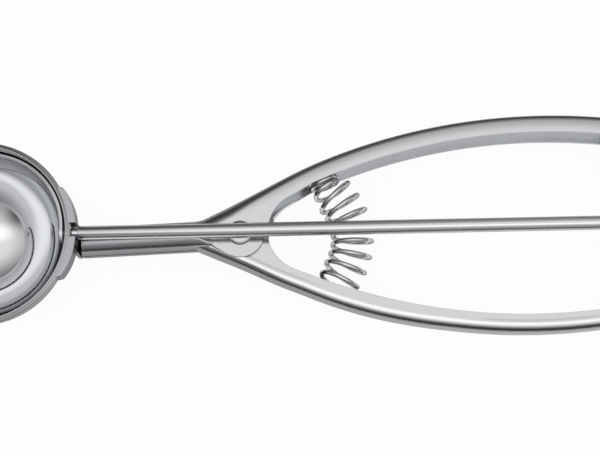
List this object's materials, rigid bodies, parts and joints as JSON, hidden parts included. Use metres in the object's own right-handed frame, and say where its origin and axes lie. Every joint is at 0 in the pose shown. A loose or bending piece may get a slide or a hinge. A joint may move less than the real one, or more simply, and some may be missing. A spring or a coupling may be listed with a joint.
{
  "type": "lever ice cream scoop",
  "caption": "Stainless steel ice cream scoop with a round bowl, squeeze handles with a return spring, and a wiper blade turned by a shaft through a rack and pinion.",
  "frame": {"origin": "centre of the bottom of the bounding box", "axes": "+X from the bowl towards the tail along the shaft, +Y towards the fixed handle, +Z out of the bowl's open side"},
  "size_m": [0.2381, 0.0634, 0.0354],
  "materials": {
    "polished_bowl_steel": "mirror polished stainless steel",
    "polished_steel": "polished stainless steel",
    "brushed_steel": "brushed stainless steel",
    "dull_steel": "machined stainless steel",
    "spring_wire": "drawn stainless wire"
  },
  "bodies": {
    "frame": {"bowl": "polished_bowl_steel", "bowl_bracket": "polished_steel", "fixed_handle": "polished_steel", "pivot_rivet": "polished_steel", "pivot_spacer": "dull_steel", "blade_pin": "polished_steel", "upper_spring_peg": "dull_steel", "bearing_bracket": "polished_steel", "bracket_rivets": "polished_steel", "return_spring": "spring_wire"},
    "lever": {"lever_handle": "polished_steel", "rack": "polished_steel", "rack_rivets": "polished_steel", "lower_spring_peg": "dull_steel"},
    "wiper": {"wiper_shaft": "polished_steel", "wiper_blade": "brushed_steel", "blade_rivet": "brushed_steel", "pinion": "dull_steel", "shaft_washer": "dull_steel", "shaft_clip": "dull_steel"}
  },
  "joints": [
    {"name": "lever_squeeze", "type": "hinge", "parent": "frame", "child": "lever", "pos_m": [-0.01802, -0.00179, 0.0166], "axis": [0, 0, 1], "range_deg": [0, 7.63], "stiffness_Nm_per_rad": 6, "springref_deg": -8.59, "deforming": ["return_spring"]},
    {"name": "wiper_turn", "type": "hinge", "parent": "frame", "child": "wiper", "pos_m": [-0.09202, -0.00179, 0.0258], "axis": [1, 0, 0], "range_deg": [-158.5, 0]}
  ],
  "couplings": [
    {"joint": "wiper_turn", "follows": "lever_squeeze", "ratio": -20.714}
  ]
}
